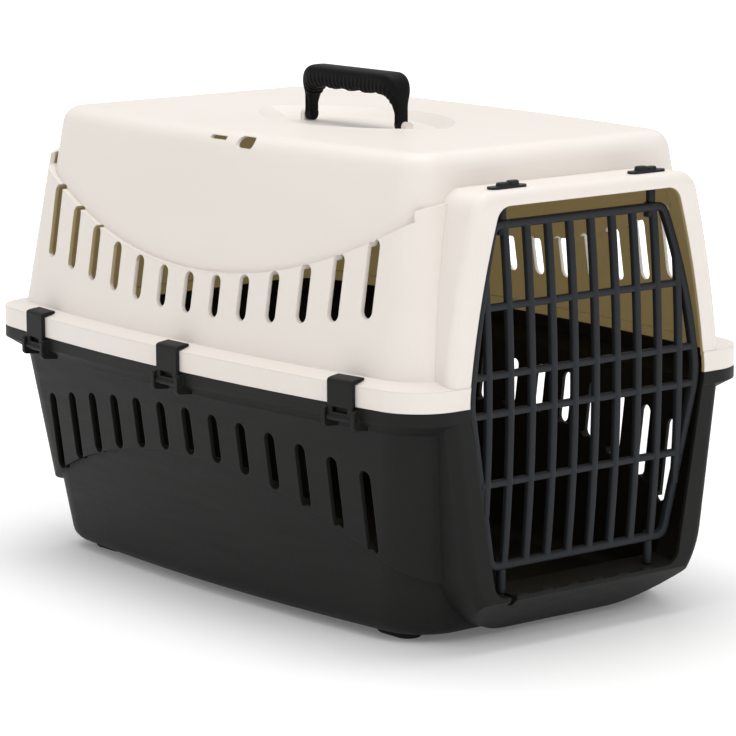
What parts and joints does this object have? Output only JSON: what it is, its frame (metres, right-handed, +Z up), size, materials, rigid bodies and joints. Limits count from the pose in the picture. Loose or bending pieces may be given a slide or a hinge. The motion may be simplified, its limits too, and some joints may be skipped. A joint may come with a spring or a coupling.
{
  "type": "pet carrier",
  "caption": "Hard two-part pet carrier with a slotted lid and tub, side clips, a folding top handle and a swinging grille door.",
  "frame": {"origin": "on the floor under the centre of the carrier, at the underside of the feet", "axes": "+Z up, the door faces -Y, the long sides run along Y, +X is to the right seen from the door"},
  "size_m": [0.3198, 0.46, 0.3363],
  "materials": {
    "lid_plastic": "smooth satin moulded plastic, warm cream white",
    "tub_plastic": "fine-grained moulded plastic, anthracite",
    "grey_plastic": "moulded plastic, dark grey, slight sheen",
    "foot_rubber": "matt black pad"
  },
  "bodies": {
    "carrier": {"lower_shell": "tub_plastic", "upper_shell": "lid_plastic", "foot_left_rear": "foot_rubber", "foot_left_front": "foot_rubber", "foot_right_rear": "foot_rubber", "foot_right_front": "foot_rubber"},
    "door": {"door_grille": "grey_plastic"},
    "handle": {"carry_handle": "grey_plastic"},
    "tab_left": {"door_tab_left": "grey_plastic"},
    "tab_right": {"door_tab_right": "grey_plastic"},
    "clip_left_rear": {"clip_left_rear": "tub_plastic"},
    "clip_left_middle": {"clip_left_middle": "tub_plastic"},
    "clip_left_front": {"clip_left_front": "tub_plastic"},
    "clip_right_rear": {"clip_right_rear": "tub_plastic"},
    "clip_right_middle": {"clip_right_middle": "tub_plastic"},
    "clip_right_front": {"clip_right_front": "tub_plastic"}
  },
  "joints": [
    {"name": "door_swing", "type": "hinge", "parent": "carrier", "child": "door", "pos_m": [0.06128, -0.217, 0.154], "axis": [0, 0, 1], "range_deg": [0, 110]},
    {"name": "handle_fold", "type": "hinge", "parent": "carrier", "child": "handle", "pos_m": [0, 0, 0.3016], "axis": [0, 1, 0], "range_deg": [-70, 70]},
    {"name": "tab_left_lift", "type": "slide", "parent": "carrier", "child": "tab_left", "axis": [0, 0, 1], "range_m": [0, 0.008]},
    {"name": "tab_right_lift", "type": "slide", "parent": "carrier", "child": "tab_right", "axis": [0, 0, 1], "range_m": [0, 0.008]},
    {"name": "clip_left_rear_hinge", "type": "hinge", "parent": "carrier", "child": "clip_left_rear", "pos_m": [-0.14911, 0.16023, 0.146], "axis": [-0.1019, -0.9948, 0], "range_deg": [0, 95]},
    {"name": "clip_left_middle_hinge", "type": "hinge", "parent": "carrier", "child": "clip_left_middle", "pos_m": [-0.1573, -0.003, 0.146], "axis": [0.0019, -1, 0], "range_deg": [0, 95]},
    {"name": "clip_left_front_hinge", "type": "hinge", "parent": "carrier", "child": "clip_left_front", "pos_m": [-0.14816, -0.16925, 0.146], "axis": [0.1076, -0.9942, 0], "range_deg": [0, 95]},
    {"name": "clip_right_rear_hinge", "type": "hinge", "parent": "carrier", "child": "clip_right_rear", "pos_m": [0.14911, 0.16023, 0.146], "axis": [-0.1019, 0.9948, 0], "range_deg": [0, 95]},
    {"name": "clip_right_middle_hinge", "type": "hinge", "parent": "carrier", "child": "clip_right_middle", "pos_m": [0.1573, -0.003, 0.146], "axis": [0.0019, 1, 0], "range_deg": [0, 95]},
    {"name": "clip_right_front_hinge", "type": "hinge", "parent": "carrier", "child": "clip_right_front", "pos_m": [0.14816, -0.16925, 0.146], "axis": [0.1076, 0.9942, 0], "range_deg": [0, 95]}
  ]
}
